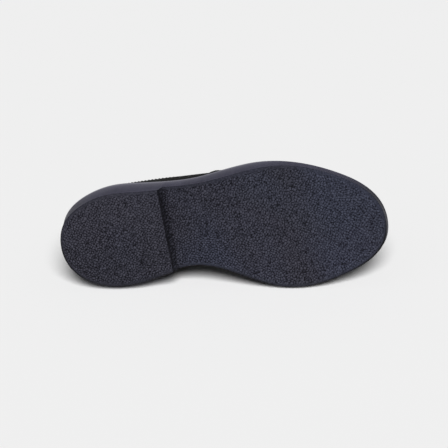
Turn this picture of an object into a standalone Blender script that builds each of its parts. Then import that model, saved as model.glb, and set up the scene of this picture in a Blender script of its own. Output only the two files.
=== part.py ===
"""Slip-on loafer, right shoe, lying on its inner side.

The pieces are modelled in the shoe's own frame: x runs from the heel to the toe, y towards the
inner (medial) side, z up from the ground that the sole would stand on. Tables and sizes are in
millimetres. An empty then lays the whole shoe down on its side.
"""

import math

import bpy
import numpy as np
from mathutils import Euler, Vector

MM = 0.001

# ---- Driving dimensions, millimetres ------------------------------------------------------

LENGTH = 264.3  # heel to toe along the tread
HEEL_BREAST = 86.5  # where the heel block ends and the arch begins, on the shoe's x axis
BREAST_SLANT = 0.097  # how far the breast runs forward for each millimetre towards the inside
BREAST_RUN = 2.2  # length over which the breast rises, so that its face leans a little
GAP = 0.3  # left between pieces that touch
WALL = 1.9  # upper leather with its lining
TREAD_ROUND = 1.6  # rounding between tread and side wall
RIM_BEVEL = 0.7  # bevel on the sole's upper rim
INSOLE_THICK = 3.0
SADDLE_THICK = 1.3
BACKSTAY_THICK = 1.1
BACKSTAY_WIDTH = 15.0
TONGUE_THICK = 1.7
SEAM_HEIGHT = 1.7  # how far the apron seam stands proud
SEAM_WIDTH = 2.2  # half width of the apron seam along the leather
THROAT = 142.0  # where the vamp's cut edge lies, under the saddle
SEAM_START = 168.5  # where the apron seam starts to rise, at the saddle's front edge

# Outer edge of the tread, anticlockwise from the heel along the inner side. Columns: x, y.
TREAD_EDGE = [
    (0.3, 3.5),
    (4.6, 21.5),
    (18.9, 35.3),
    (40.0, 40.7),
    (62.0, 39.3),
    (80.5, 34.2),
    (97.0, 29.4),
    (112.0, 27.0),
    (128.0, 28.9),
    (150.0, 36.2),
    (170.0, 43.1),
    (189.0, 45.9),
    (211.0, 43.3),
    (231.3, 36.7),
    (252.0, 25.9),
    (262.4, 12.8),
    (264.3, -1.8),
    (260.6, -16.0),
    (248.9, -30.9),
    (231.2, -42.1),
    (209.0, -50.4),
    (185.0, -53.8),
    (160.0, -51.2),
    (139.0, -46.3),
    (115.0, -41.0),
    (90.0, -38.3),
    (65.0, -37.2),
    (42.0, -35.6),
    (19.4, -26.7),
    (4.3, -12.3),
]

# Side view of the sole. Columns: x, ground side of the sole, top of the sole's rim, flare of the
# side wall (how far the rim stands out past the tread).
SOLE_PROFILE = [
    (-10.0, 0.0, 24.3, 4.6),
    (30.0, 0.0, 24.1, 2.4),
    (60.0, 0.0, 24.0, 1.4),
    (86.0, 0.0, 22.9, 0.9),
    (110.0, 0.0, 20.6, 1.0),
    (135.0, 0.0, 16.8, 2.4),
    (160.0, 0.0, 12.9, 3.0),
    (180.0, 0.0, 10.8, 1.8),
    (200.0, 0.1, 10.2, 0.8),
    (220.0, 1.4, 11.2, 0.4),
    (240.0, 4.6, 14.0, 0.4),
    (266.0, 11.0, 20.0, 0.4),
    (280.0, 15.0, 24.0, 0.4),
]

# Underside of the arch in front of the heel breast. Columns: x, height over the ground.
ARCH = [
    (60.0, 9.6),
    (86.5, 9.2),
    (105.0, 6.6),
    (125.0, 3.0),
    (142.0, 0.7),
    (156.0, 0.0),
    (170.0, 0.0),
]

# The upper around its bottom edge. Columns: x, inset from the sole's rim on the inner side, the
# same on the outer side, outward swell of the wall on the inner side, the same on the outer side.
FEATHER = [
    (-10.0, 5.6, 5.6, 3.2, 3.2),
    (30.0, 4.8, 5.0, 3.0, 1.2),
    (50.0, 4.2, 5.0, 3.0, 0.8),
    (70.0, 3.6, 4.2, 3.2, 1.8),
    (90.0, 2.6, 3.3, 3.8, 2.7),
    (110.0, 1.9, 2.7, 4.4, 2.7),
    (128.0, 2.2, 3.7, 3.9, 2.0),
    (150.0, 3.8, 5.2, 3.0, 0.8),
    (190.0, 4.6, 5.2, 2.0, 1.2),
    (230.0, 4.6, 4.8, 2.2, 2.0),
    (280.0, 4.6, 4.8, 2.4, 2.4),
]

# Ridge of the last, over which every section closes. Behind the throat it is only a guide that
# gives the quarters their lean. Columns: x, y, z, fullness of the sides, fullness of the top.
RIDGE = [
    (20.0, 3.0, 106.0, 1.8, 2.0),
    (45.0, 2.5, 106.0, 1.8, 2.0),
    (70.0, 2.0, 103.5, 1.95, 2.05),
    (90.0, 2.0, 98.0, 2.1, 2.1),
    (110.0, 2.0, 91.0, 2.1, 2.1),
    (125.0, 2.0, 85.3, 2.0, 2.1),
    (140.0, 2.0, 79.0, 1.95, 2.05),
    (155.0, 2.2, 73.0, 1.95, 2.0),
    (170.0, 2.0, 67.0, 2.0, 2.0),
    (185.0, 1.2, 61.8, 2.0, 2.1),
    (200.0, 0.0, 57.2, 2.05, 2.25),
    (212.0, -1.2, 53.6, 2.1, 2.4),
    (224.0, -2.2, 49.8, 2.1, 2.5),
]

# The line that ends the quarters at the collar and becomes the apron seam on the vamp. Columns:
# x, height on the inner side, height on the outer side.
TOPLINE = [
    (-5.0, 79.0, 79.0),
    (15.0, 78.4, 78.0),
    (35.0, 75.8, 75.0),
    (55.0, 72.6, 71.4),
    (75.0, 70.6, 69.2),
    (95.0, 70.4, 69.0),
    (115.0, 71.4, 70.4),
    (130.0, 72.4, 71.6),
    (142.0, 72.2, 71.4),
    (155.0, 68.6, 67.8),
    (175.0, 60.6, 59.6),
    (195.0, 53.0, 52.4),
    (215.0, 47.4, 47.2),
    (235.0, 44.6, 44.6),
    (250.0, 43.6, 43.6),
    (262.0, 43.4, 43.4),
    (275.0, 43.4, 43.4),
]

# Saddle strap across the instep. Columns: share of the way up the side, x of its back edge, x of
# its front edge.
SADDLE = [
    (0.0, 124.0, 178.0),
    (0.35, 129.5, 173.0),
    (0.7, 135.0, 168.0),
    (1.0, 137.0, 166.5),
]

# Tongue under the saddle. Columns: share of the way from its free end, x, drop under the upper's
# outer face, half width.
TONGUE = [
    (0.0, 113.5, 5.0, 17.0),
    (0.3, 121.0, 4.2, 18.5),
    (0.55, 131.0, 2.9, 18.5),
    (0.75, 140.0, 2.5, 17.0),
    (1.0, 156.0, 2.5, 15.0),
]

# How the shoe lies: turned onto its inner side, then tilted until the sole's edge and the
# upper's side both touch the floor.
LIE_TURN = (math.radians(-90.0), 0.0, 0.0)
LIE_TILT = (math.radians(-7.4), math.radians(-1.08), 0.0)

# ---- Mesh density -------------------------------------------------------------------------

HALF_STEPS = 44  # lines from heel to toe on each side
SIDE_ROWS = 8  # rows from the feather edge to the topline
APRON_ROWS = 4  # rows from the apron seam to the ridge
SOLE_ROWS = 3  # rows from the tread's edge to its middle


# ---- Curves -------------------------------------------------------------------------------


def spline_slopes(x, y, closed):
    """Slopes of the smooth cubic through the points, natural at its ends or closed."""
    n = len(x)
    step = np.diff(x)
    rise = np.diff(y, axis=0) / step[:, None]
    a = np.zeros((n, n))
    b = np.zeros((n, y.shape[1]))
    for i in range(1, n - 1):
        a[i, i - 1 : i + 2] = step[i], 2 * (step[i - 1] + step[i]), step[i - 1]
        b[i] = 3 * (step[i] * rise[i - 1] + step[i - 1] * rise[i])
    if closed:
        a[0, 0], a[0, 1], a[0, n - 2] = 2 * (step[-1] + step[0]), step[-1], step[0]
        b[0] = 3 * (step[0] * rise[-1] + step[-1] * rise[0])
        a[-1, -1], a[-1, 0] = 1, -1
    else:
        a[0, :2], b[0] = (2, 1), 3 * rise[0]
        a[-1, -2:], b[-1] = (1, 2), 3 * rise[-1]
    return np.linalg.solve(a, b)


def spline(table, at, closed=False):
    """The table's columns after the first, as smooth functions of the first."""
    table = np.asarray(table, float)
    x, y = table[:, 0], table[:, 1:]
    slope = spline_slopes(x, y, closed)
    at = np.asarray(at, float)
    i = np.clip(np.searchsorted(x, at, side="right") - 1, 0, len(x) - 2)
    h = (x[i + 1] - x[i])[..., None]
    u = (at - x[i])[..., None] / h
    return (
        (1 + 2 * u) * (1 - u) ** 2 * y[i]
        + u * (1 - u) ** 2 * h * slope[i]
        + u**2 * (3 - 2 * u) * y[i + 1]
        + u**2 * (u - 1) * h * slope[i + 1]
    )


def smooth_step(x, low, high):
    """0 below low, 1 above high, and a smooth rise between them."""
    u = np.clip((x - low) / (high - low), 0, 1)
    return u * u * (3 - 2 * u)


def unit(v):
    return v / np.linalg.norm(v, axis=-1, keepdims=True)


def tread_curve(samples=2400):
    """Points along the tread's edge, and the outward direction at each."""
    points = np.array(TREAD_EDGE + TREAD_EDGE[:1])
    chord = np.concatenate([[0], np.cumsum(np.hypot(*np.diff(points, axis=0).T))])
    at = np.linspace(0, chord[-1], samples, endpoint=False)
    curve = spline(np.column_stack([chord, points]), at, closed=True)
    return curve, outward(curve)


def outward(curve):
    along = np.roll(curve, -1, axis=0) - np.roll(curve, 1, axis=0)
    return unit(np.column_stack([-along[:, 1], along[:, 0]]))


def slanted(xy):
    """Distance from the heel, measured square to the heel breast."""
    return xy[..., 0] - BREAST_SLANT * xy[..., 1]


class Outline:
    """A closed outline, read by a loop value: 0 to 1 up the inner side, 1 to 2 back down the outer."""

    def __init__(self, curve):
        q = slanted(curve)
        heel, toe = int(q.argmin()), int(q.argmax())
        self.heel_q, self.toe_q = q[heel], q[toe]
        normal = outward(curve)
        n = len(curve)
        # The outline is listed from the heel towards the inner side, so that half comes first.
        inner = np.arange(heel, heel + (toe - heel) % n + 1) % n
        outer = np.arange(toe, toe + (heel - toe) % n + 1) % n
        share = [self.share_of(q[inner]), 2 - self.share_of(q[outer])]
        order = np.concatenate([inner, outer[1:]])
        self.loop = np.concatenate([share[0], share[1][1:]])
        self.xy, self.normal = curve[order], normal[order]

    def share_of(self, q):
        """Loop value on the inner side of a distance from the heel."""
        span = (q - self.heel_q) / (self.toe_q - self.heel_q)
        return np.arccos(np.clip(1 - 2 * span, -1, 1)) / math.pi

    def read(self, values, loop):
        loop = np.asarray(loop) % 2
        return np.stack(
            [np.interp(loop, self.loop, column) for column in values.T], axis=-1
        )

    def at(self, loop):
        return self.read(self.xy, loop)

    def normal_at(self, loop):
        return unit(self.read(self.normal, loop))


def inner_share(loop):
    """1 on the inner side, 0 on the outer, blended over the heel's and toe's middle."""
    return 0.5 + 0.5 * np.clip(np.sin(np.pi * np.asarray(loop)) * 3, -1, 1)


def spine_q(q):
    """Where along the middle a section from the outline ends: sections fan out at heel and toe."""
    heel_fan, toe_fan, length = 60.0, 90.0, LENGTH
    q = np.asarray(q, float)
    near_heel = heel_fan / 2 + q**2 / (2 * heel_fan)
    back = length - q
    near_toe = length - (toe_fan / 2 + back**2 / (2 * toe_fan))
    return np.where(q < heel_fan, near_heel, np.where(back < toe_fan, near_toe, q))


# ---- The sole's and the upper's surfaces --------------------------------------------------


def sole_top(x):
    return spline(SOLE_PROFILE, x)[..., 1]


def ground_side(xy):
    """Height of the tread: flat heel, breast, arch, flat forefoot and toe spring."""
    q = slanted(xy)
    spring = np.maximum(spline(SOLE_PROFILE, xy[..., 0])[..., 0], 0)
    arch = np.maximum(spline(ARCH, np.clip(q, 60, 170))[..., 0], 0)
    return spring + arch * smooth_step(q, HEEL_BREAST, HEEL_BREAST + BREAST_RUN)


def offset_outline(outline, loop, distance):
    return outline.at(loop) + outline.normal_at(loop) * np.asarray(distance)[..., None]


def rim_curve():
    """The sole's upper rim: the tread's edge moved out by the wall's flare."""
    curve, normal = tread_curve()
    return curve + normal * spline(SOLE_PROFILE, curve[:, 0])[:, 2:3]


def feather_curve():
    """The upper's bottom edge, inside the rim."""
    curve = rim_curve()
    rim = Outline(curve)
    inside = inner_share(rim.loop)
    inset = spline(FEATHER, rim.xy[:, 0])
    inset = inset[:, 0] * inside + inset[:, 1] * (1 - inside)
    moved = rim.xy - rim.normal * inset[:, None]
    return moved[:-1]


TREAD = Outline(tread_curve()[0])
FOOT = Outline(feather_curve())


def section(loop):
    """The facts of the upper's sections at loop values: foot point, outward direction, ridge point,
    the two exponents, and the swell."""
    xy = FOOT.at(loop)
    inside = inner_share(loop)
    foot = np.concatenate([xy, sole_top(xy[..., 0])[..., None] + GAP], axis=-1)
    q = spine_q(slanted(xy))
    ridge = spline(RIDGE, q)
    y = ridge[..., 0]
    crest = np.stack([q + BREAST_SLANT * y, y, ridge[..., 1]], axis=-1)
    swell = spline(FEATHER, xy[..., 0])
    swell = swell[..., 2] * inside + swell[..., 3] * (1 - inside)
    return foot, FOOT.normal_at(loop), crest, ridge[..., 2], ridge[..., 3], swell, q


def ridge_fall(q):
    """Slope of the ridge. The sections from toe and heel arrive at the ridge with this slope."""
    return (spline(RIDGE, q + 1)[..., 1] - spline(RIDGE, q - 1)[..., 1]) / 2


def topline_angle(loop):
    """Angle of the section at which it reaches the collar, or on the vamp the apron seam."""
    foot, _, crest, _, top, _, _ = section(loop)
    heights = spline(TOPLINE, slanted(foot[..., :2]))
    inside = inner_share(loop)
    z = heights[..., 0] * inside + heights[..., 1] * (1 - inside)
    share = np.clip((z - foot[..., 2]) / (crest[..., 2] - foot[..., 2]), 0.05, 0.98)
    return np.arcsin(share ** (top / 2))


def on_last(loop, angle):
    """Points of the upper's outer face: angle 0 at the feather edge, a right angle on the ridge."""
    foot, normal, crest, side, top, swell, _ = section(loop)
    inward = 1 - np.cos(angle) ** (2 / side)
    upward = np.sin(angle) ** (2 / top)
    point = foot + (crest - foot) * np.stack([inward, inward, upward], axis=-1)
    bulge = swell * 6.75 * upward * (1 - upward) ** 2
    point[..., :2] += normal * bulge[..., None]
    fall = ridge_fall(spine_q(slanted(foot[..., :2])))
    point[..., 2] += fall * (point[..., 0] - crest[..., 0]) * upward**2
    return point


def face_direction(loop, angle):
    """Outward direction of the last's surface."""
    angle = np.clip(angle, 0.02, math.pi / 2 - 0.02)
    step_loop, step_angle = 0.002, 0.01
    along = on_last(loop + step_loop, angle) - on_last(loop - step_loop, angle)
    up = on_last(loop, angle + step_angle) - on_last(loop, angle - step_angle)
    return unit(np.cross(up, along))


def leather(loop, angle, offset):
    """Points at a distance from the upper's outer face. Both sides of the ridge share a direction."""
    direction = face_direction(loop, angle)
    mirror = face_direction(2 - loop, angle)
    on_ridge = smooth_step(angle, math.pi / 2 - 0.06, math.pi / 2 - 0.01)[..., None]
    direction = unit(direction * (1 - on_ridge / 2) + mirror * on_ridge / 2)
    return on_last(loop, angle) + direction * np.asarray(offset)[..., None]


# ---- Meshes -------------------------------------------------------------------------------


def half_shares(outline, exact):
    """Shares from heel to toe, with one at each exact distance from the heel."""
    share = np.linspace(0, 1, HALF_STEPS + 1)
    wanted = outline.share_of(np.array(exact, float))
    for value in wanted:
        share = share[np.abs(share - value) > 0.5 / HALF_STEPS]
    return np.sort(np.concatenate([share, wanted]))


def whole_loop(share):
    """Loop values of the closed outline from the shares of one side."""
    return np.concatenate([share, 2 - share[-2:0:-1]])


def clean_scene():
    for obj in list(bpy.data.objects):
        bpy.data.objects.remove(obj, do_unlink=True)


def material(name, colour, roughness):
    made = bpy.data.materials.new(name)
    made.use_nodes = True
    shader = made.node_tree.nodes["Principled BSDF"]
    shader.inputs["Base Color"].default_value = (*colour, 1.0)
    shader.inputs["Roughness"].default_value = roughness
    shader.inputs["Metallic"].default_value = 0.0
    return made


def add_object(name, points, faces, skin, parent):
    mesh = bpy.data.meshes.new(name)
    mesh.from_pydata([tuple(p * MM) for p in points], [], faces)
    mesh.validate()
    mesh.materials.append(skin)
    mesh.shade_smooth()
    mesh.set_sharp_from_angle(angle=math.radians(40))
    made = bpy.data.objects.new(name, mesh)
    bpy.context.scene.collection.objects.link(made)
    made.parent = parent
    return made


def lofted_rings(first_spine, rings, last_spine):
    """A closed solid through rings around the outline. Each end closes on a line along the middle."""
    count = len(rings[0])
    half = count // 2
    points = list(first_spine)
    start = []
    for ring in rings:
        start.append(len(points))
        points.extend(ring)
    end = len(points)
    points.extend(last_spine)

    def fold(k):
        k %= count
        return min(k, count - k)

    faces = []
    for k in range(count):
        n = (k + 1) % count
        faces.append((fold(n), fold(k), start[0] + k, start[0] + n))
        for low, high in zip(start[:-1], start[1:]):
            faces.append((low + n, low + k, high + k, high + n))
        faces.append((start[-1] + n, start[-1] + k, end + fold(k), end + fold(n)))
    assert len(first_spine) == len(last_spine) == half + 1
    return np.array(points), faces


def shell(outer, inner, faces):
    """A closed solid between two faces of the same layout, joined along their open edges."""
    count = len(outer)
    sides = {(face[i - 1], face[i]) for face in faces for i in range(len(face))}
    rim = [(b, a, a + count, b + count) for a, b in sides if (b, a) not in sides]
    back = [tuple(i + count for i in reversed(face)) for face in faces]
    return np.concatenate([outer, inner]), faces + back + rim


def grid_faces(rows, columns):
    return [
        (
            r * columns + c,
            r * columns + c + 1,
            (r + 1) * columns + c + 1,
            (r + 1) * columns + c,
        )
        for r in range(rows - 1)
        for c in range(columns - 1)
    ]


# ---- The pieces ---------------------------------------------------------------------------


def build_outsole(skin, parent):
    """One moulded rubber sole: heel block, breast, arch, forefoot, side wall and rim."""
    share = half_shares(TREAD, [HEEL_BREAST, HEEL_BREAST + BREAST_RUN])
    loop = whole_loop(share)
    edge = TREAD.at(loop)
    spine = middle_line(slanted(TREAD.at(share)))
    spine_loop = middle_line(slanted(edge))
    flare = spline(SOLE_PROFILE, edge[:, 0])[:, 2]

    tread = offset_outline(TREAD, loop, np.full(len(loop), -TREAD_ROUND))
    rings = []
    for step in range(1, SOLE_ROWS + 1):
        xy = spine_loop + (tread - spine_loop) * step / SOLE_ROWS
        rings.append(raised(xy, ground_side(xy)))
    low = ground_side(edge)
    for out, up in ((-0.45, 0.45), (0.0, TREAD_ROUND)):
        xy = offset_outline(TREAD, loop, np.full(len(loop), out))
        rings.append(raised(xy, low + up))
    rim = offset_outline(TREAD, loop, flare)
    rings.append(raised(rim, sole_top(rim[:, 0]) - RIM_BEVEL))
    inner_rim = offset_outline(TREAD, loop, flare - RIM_BEVEL)
    rings.append(raised(inner_rim, sole_top(inner_rim[:, 0])))
    seat = spine_loop + (inner_rim - spine_loop) * 0.5
    rings.append(raised(seat, sole_top(seat[:, 0])))
    first = raised(spine, ground_side(spine))
    last = raised(spine, sole_top(spine[:, 0]))
    points, faces = lofted_rings(first, rings, last)
    return add_object("outsole", points, faces, skin, parent)


def middle_line(q):
    """Points on the middle line for sections that start at these distances from the heel."""
    q = spine_q(q)
    y = spline(RIDGE, q)[..., 0]
    return np.stack([q + BREAST_SLANT * y, y], axis=-1)


def raised(xy, z):
    return np.column_stack([xy, z])


def build_insole(skin, parent):
    """Footbed that lies on the sole inside the upper."""
    share = half_shares(FOOT, [])
    loop = whole_loop(share)
    edge = offset_outline(FOOT, loop, np.full(len(loop), -WALL - 2 * GAP))
    spine_loop = middle_line(slanted(FOOT.at(loop)))
    spine = middle_line(slanted(FOOT.at(share)))
    half_way = spine_loop + (edge - spine_loop) * 0.5
    drawn_in = spine_loop + (edge - spine_loop) * 0.97
    low, high = GAP, GAP + INSOLE_THICK

    def lifted(xy, by):
        return raised(xy, sole_top(xy[:, 0]) + by)

    rings = [
        lifted(half_way, low),
        lifted(edge, low),
        lifted(edge, high - 0.6),
        lifted(drawn_in, high),
        lifted(half_way, high),
    ]
    points, faces = lofted_rings(lifted(spine, low), rings, lifted(spine, high))
    return add_object("insole", points, faces, skin, parent)


def row_angles(loop):
    """Angles of the upper's rows: up to the topline or seam, then on to the ridge."""
    line = topline_angle(loop)[:, None]
    reach = np.linalg.norm(on_last(loop, line[:, 0]) - on_last(loop, line[:, 0] * 0.9), axis=-1)
    edge = np.clip(SEAM_WIDTH / reach * 0.1, 0.01, 0.2)[:, None]
    below = np.linspace(0, 1, SIDE_ROWS) * (1 - edge)
    lower = np.concatenate([below, np.ones_like(edge)], axis=1) * line
    above = line + (math.pi / 2 - line) * np.linspace(0, 1, APRON_ROWS + 1)[1:]
    first = np.minimum(line * (1 + edge), line + (math.pi / 2 - line) * 0.4)
    return np.concatenate([lower, first, above], axis=1)


def seam_lift(loop):
    """Height of the raised apron seam, which starts in front of the saddle."""
    _, _, _, _, _, _, q = section(loop)
    return SEAM_HEIGHT * smooth_step(q, SEAM_START, SEAM_START + 7)


def build_upper(skin, parent):
    """Vamp, apron and quarters in one hollow wall, open at the collar and over the sole."""
    share = half_shares(FOOT, [THROAT, SEAM_START, SEAM_START + 3.5, SEAM_START + 7])
    loop = whole_loop(share)
    angle = row_angles(loop)
    count, rows = angle.shape
    around = np.repeat(loop[:, None], rows, axis=1)
    lift = np.zeros_like(angle)
    lift[:, SIDE_ROWS] = seam_lift(loop)
    outer = leather(around, angle, lift)
    inner = leather(around, angle, np.full_like(angle, -WALL))
    throat = int(np.abs(share - FOOT.share_of(np.array(THROAT))).argmin())

    def fold(k):
        k %= count
        return min(k, count - k)

    def vertex(k, row):
        k %= count
        return (fold(k) if row == rows - 1 else k) * rows + row

    faces = []
    for k in range(count):
        on_vamp = min(fold(k), fold(k + 1)) >= throat
        last_row = rows - 1 if on_vamp else SIDE_ROWS
        for row in range(last_row):
            faces.append(
                (
                    vertex(k + 1, row),
                    vertex(k, row),
                    vertex(k, row + 1),
                    vertex(k + 1, row + 1),
                )
            )
    used = sorted({i for face in faces for i in face})
    place = {old: new for new, old in enumerate(used)}
    faces = [tuple(place[i] for i in face) for face in faces]
    points, faces = shell(
        outer.reshape(-1, 3)[used], inner.reshape(-1, 3)[used], faces
    )
    return add_object("upper", points, faces, skin, parent)


def build_saddle(skin, parent):
    """Plain strap over the instep, caught at the sole on both sides."""
    columns = 6
    loops, angles = [], []
    rows = 15
    up = np.arange(rows)
    for outer_side in (False, True):
        order = up[::-1][1:] if outer_side else up
        for row in order:
            angle = 0.013 + (math.pi / 2 - 0.013) * row / (rows - 1)
            back, front = spline(SADDLE, angle / (math.pi / 2))
            at = FOOT.share_of(np.linspace(back, front, columns))
            loops.append(2 - at if outer_side else at)
            angles.append(np.full(columns, angle))
    loops, angles = np.array(loops), np.array(angles)
    low = leather(loops, angles, np.full_like(loops, GAP * 1.4))
    high = leather(loops, angles, np.full_like(loops, GAP * 1.4 + SADDLE_THICK))
    faces = [tuple(reversed(face)) for face in grid_faces(len(loops), columns)]
    points, faces = shell(high.reshape(-1, 3), low.reshape(-1, 3), faces)
    return add_object("saddle", points, faces, skin, parent)


def angle_at_width(loop, width):
    """Angle of a section at a distance from the ridge, measured level across the foot."""
    foot, _, crest, side, _, _, _ = section(loop)
    reach = np.linalg.norm((foot - crest)[..., :2], axis=-1)
    return np.arccos(np.clip(width / reach, 0, 1) ** (side / 2))


def build_tongue(skin, parent):
    """Tongue that comes out from under the saddle, with a rounded free end."""
    columns, rows = 9, 9
    loops, angles, drops = [], [], []
    for across in np.linspace(-1, 1, columns):
        for share in np.linspace(0, 1, rows):
            x, drop, half_width = spline(TONGUE, share)
            x += 9.0 * abs(across) ** 3 * (1 - share) ** 2
            at = FOOT.share_of(np.array(x))
            at = 2 - at if across < 0 else at
            loops.append(float(at))
            angles.append(float(angle_at_width(at, abs(across) * half_width)))
            drops.append(drop)
    loops, angles, drops = np.array(loops), np.array(angles), np.array(drops)
    high = leather(loops, angles, -drops)
    low = leather(loops, angles, -drops - TONGUE_THICK)
    points, faces = shell(high, low, grid_faces(columns, rows))
    return add_object("tongue", points, faces, skin, parent)


def build_backstay(skin, parent):
    """Narrow strip that covers the back seam."""
    columns, rows = 5, 9
    per_mm = 0.002 / np.linalg.norm(FOOT.at(0.002) - FOOT.at(0.0))
    loops, angles = [], []
    for share in np.linspace(0, 1, rows):
        half_width = BACKSTAY_WIDTH / 2 * (1 - 0.25 * share)
        loop = np.linspace(-half_width, half_width, columns) * per_mm
        loops.append(loop)
        angles.append(topline_angle(loop) * (0.02 + 0.975 * share))
    loops, angles = np.array(loops), np.array(angles)
    low = leather(loops, angles, np.full_like(loops, GAP * 1.2))
    high = leather(loops, angles, np.full_like(loops, GAP * 1.2 + BACKSTAY_THICK))
    faces = [tuple(reversed(face)) for face in grid_faces(rows, columns)]
    points, faces = shell(high.reshape(-1, 3), low.reshape(-1, 3), faces)
    return add_object("backstay", points, faces, skin, parent)


def lay_down():
    """Empty that carries the shoe lying on its inner side."""
    lying = bpy.data.objects.new("lying", None)
    bpy.context.scene.collection.objects.link(lying)
    turn = Euler(LIE_TILT).to_matrix() @ Euler(LIE_TURN).to_matrix()
    lying.rotation_euler = turn.to_euler()
    return lying


def rest_on_floor(lying, pieces):
    """Moves the shoe until it touches the floor, with the origin under its middle."""
    bpy.context.view_layer.update()
    corners = [
        piece.matrix_world @ vertex.co for piece in pieces for vertex in piece.data.vertices
    ]
    low = Vector([min(corner[i] for corner in corners) for i in range(3)])
    high = Vector([max(corner[i] for corner in corners) for i in range(3)])
    middle = (low + high) / 2
    lying.location = (-middle.x, -middle.y, -low.z)


def main():
    clean_scene()
    rubber = material("rubber", (0.045, 0.045, 0.058), 0.75)
    black_leather = material("black_leather", (0.012, 0.012, 0.013), 0.4)
    lining = material("lining_leather", (0.35, 0.25, 0.16), 0.6)
    lying = lay_down()
    pieces = [
        build_outsole(rubber, lying),
        build_insole(lining, lying),
        build_upper(black_leather, lying),
        build_saddle(black_leather, lying),
        build_tongue(black_leather, lying),
        build_backstay(black_leather, lying),
    ]
    rest_on_floor(lying, pieces)


main()
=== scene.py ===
"""Looks of the slip-on loafer: dense sole with its pebbled tread, leather upper, strap and trim.

The shoe is drawn in its own frame, in millimetres: x from heel to toe, y towards the inner side,
z up from the ground it would stand on. lie() and REST then put it on its inner side in the frame
that it shares with the solids.
"""

import math

import bpy
import numpy as np
from mathutils import Euler, Matrix, Vector


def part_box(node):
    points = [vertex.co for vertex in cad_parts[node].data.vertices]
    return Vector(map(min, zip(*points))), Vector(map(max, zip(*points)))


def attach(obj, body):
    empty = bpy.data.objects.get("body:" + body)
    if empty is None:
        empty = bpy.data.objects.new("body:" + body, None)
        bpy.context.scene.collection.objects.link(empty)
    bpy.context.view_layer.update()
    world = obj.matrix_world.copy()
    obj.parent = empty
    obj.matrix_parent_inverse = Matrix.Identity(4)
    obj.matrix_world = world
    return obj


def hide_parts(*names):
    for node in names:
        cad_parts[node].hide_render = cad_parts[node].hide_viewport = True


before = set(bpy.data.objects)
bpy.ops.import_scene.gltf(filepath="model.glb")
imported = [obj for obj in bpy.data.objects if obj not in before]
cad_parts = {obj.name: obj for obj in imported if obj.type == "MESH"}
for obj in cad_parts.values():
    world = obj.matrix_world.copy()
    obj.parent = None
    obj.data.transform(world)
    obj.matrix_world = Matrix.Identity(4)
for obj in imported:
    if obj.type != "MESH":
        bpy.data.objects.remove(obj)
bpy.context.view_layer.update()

MM = 0.001
# The lying shoe's turn: on its inner side, then tipped to rest on its rims and its heel's side.
TIP = Euler(np.radians([-7.4, -1.08, 0]))
LIE = TIP.to_matrix() @ Matrix.Rotation(math.radians(-90), 3, "X")

# ---- Sizes, the same as the solids', millimetres ----

LENGTH = 264.3
HEEL_BREAST = 88.7  # 2.2 further forward than the solid's
BREAST_SLANT = 0.097
BREAST_RUN = 2.2
GAP = 0.3
WALL = 1.9
TREAD_ROUND = 1.6
RIM_BEVEL = 0.7
INSOLE_THICK = 3.0
SADDLE_THICK = 1.3
BACKSTAY_THICK = 1.1
BACKSTAY_WIDTH = 15.0
TONGUE_THICK = 1.7
THROAT = 142.0
SEAM_START = 168.5

# Outer edge of the tread, from the heel along the inner side. Columns: x, y.
TREAD_EDGE = [
    (0.3, 3.5),
    (4.6, 21.5),
    (18.9, 35.3),
    (40.0, 40.7),
    (62.0, 39.3),
    (80.5, 34.2),
    (97.0, 29.4),
    (112.0, 27.0),
    (128.0, 28.9),
    (150.0, 36.2),
    (170.0, 43.1),
    (189.0, 45.9),
    (211.0, 43.3),
    (231.3, 36.7),
    (252.0, 25.9),
    (262.4, 12.8),
    (264.3, -1.8),
    (260.6, -16.0),
    (248.9, -30.9),
    (231.2, -42.1),
    (209.0, -50.4),
    (185.0, -53.8),
    (160.0, -51.2),
    (139.0, -46.3),
    (115.0, -41.0),
    (90.0, -38.3),
    (65.0, -37.2),
    (42.0, -35.6),
    (19.4, -26.7),
    (4.3, -12.3),
]

# Columns: x, ground side of the sole, top of the rim, flare of the side wall.
SOLE_PROFILE = [
    (-10.0, 0.0, 24.3, 4.6),
    (30.0, 0.0, 24.1, 2.4),
    (60.0, 0.0, 24.0, 1.4),
    (86.0, 0.0, 22.9, 0.9),
    (110.0, 0.0, 20.6, 1.0),
    (135.0, 0.0, 16.8, 2.4),
    (160.0, 0.0, 12.9, 3.0),
    (180.0, 0.0, 10.8, 1.8),
    (200.0, 0.1, 10.2, 0.8),
    (220.0, 1.4, 11.2, 0.4),
    (240.0, 4.6, 14.0, 0.4),
    (266.0, 11.0, 20.0, 0.4),
    (280.0, 15.0, 24.0, 0.4),
]

# Underside of the arch. Columns: x, height over the ground.
ARCH = [
    (60.0, 9.6),
    (86.5, 9.2),
    (105.0, 6.6),
    (125.0, 3.0),
    (142.0, 0.7),
    (156.0, 0.0),
    (170.0, 0.0),
]

# Bottom edge of the upper. Columns: x, inset from the rim inside and outside, swell inside and
# outside.
FEATHER = [
    (-10.0, 5.6, 5.6, 3.2, 3.2),
    (30.0, 4.8, 5.0, 3.0, 1.2),
    (50.0, 4.2, 5.0, 3.0, 0.8),
    (70.0, 3.6, 4.2, 3.2, 1.8),
    (90.0, 2.6, 3.3, 3.8, 2.7),
    (110.0, 1.9, 2.7, 4.4, 2.7),
    (128.0, 2.2, 3.7, 3.9, 2.0),
    (150.0, 3.8, 5.2, 3.0, 0.8),
    (190.0, 4.6, 5.2, 2.0, 1.2),
    (230.0, 4.6, 4.8, 2.2, 2.0),
    (280.0, 4.6, 4.8, 2.4, 2.4),
]

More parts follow.
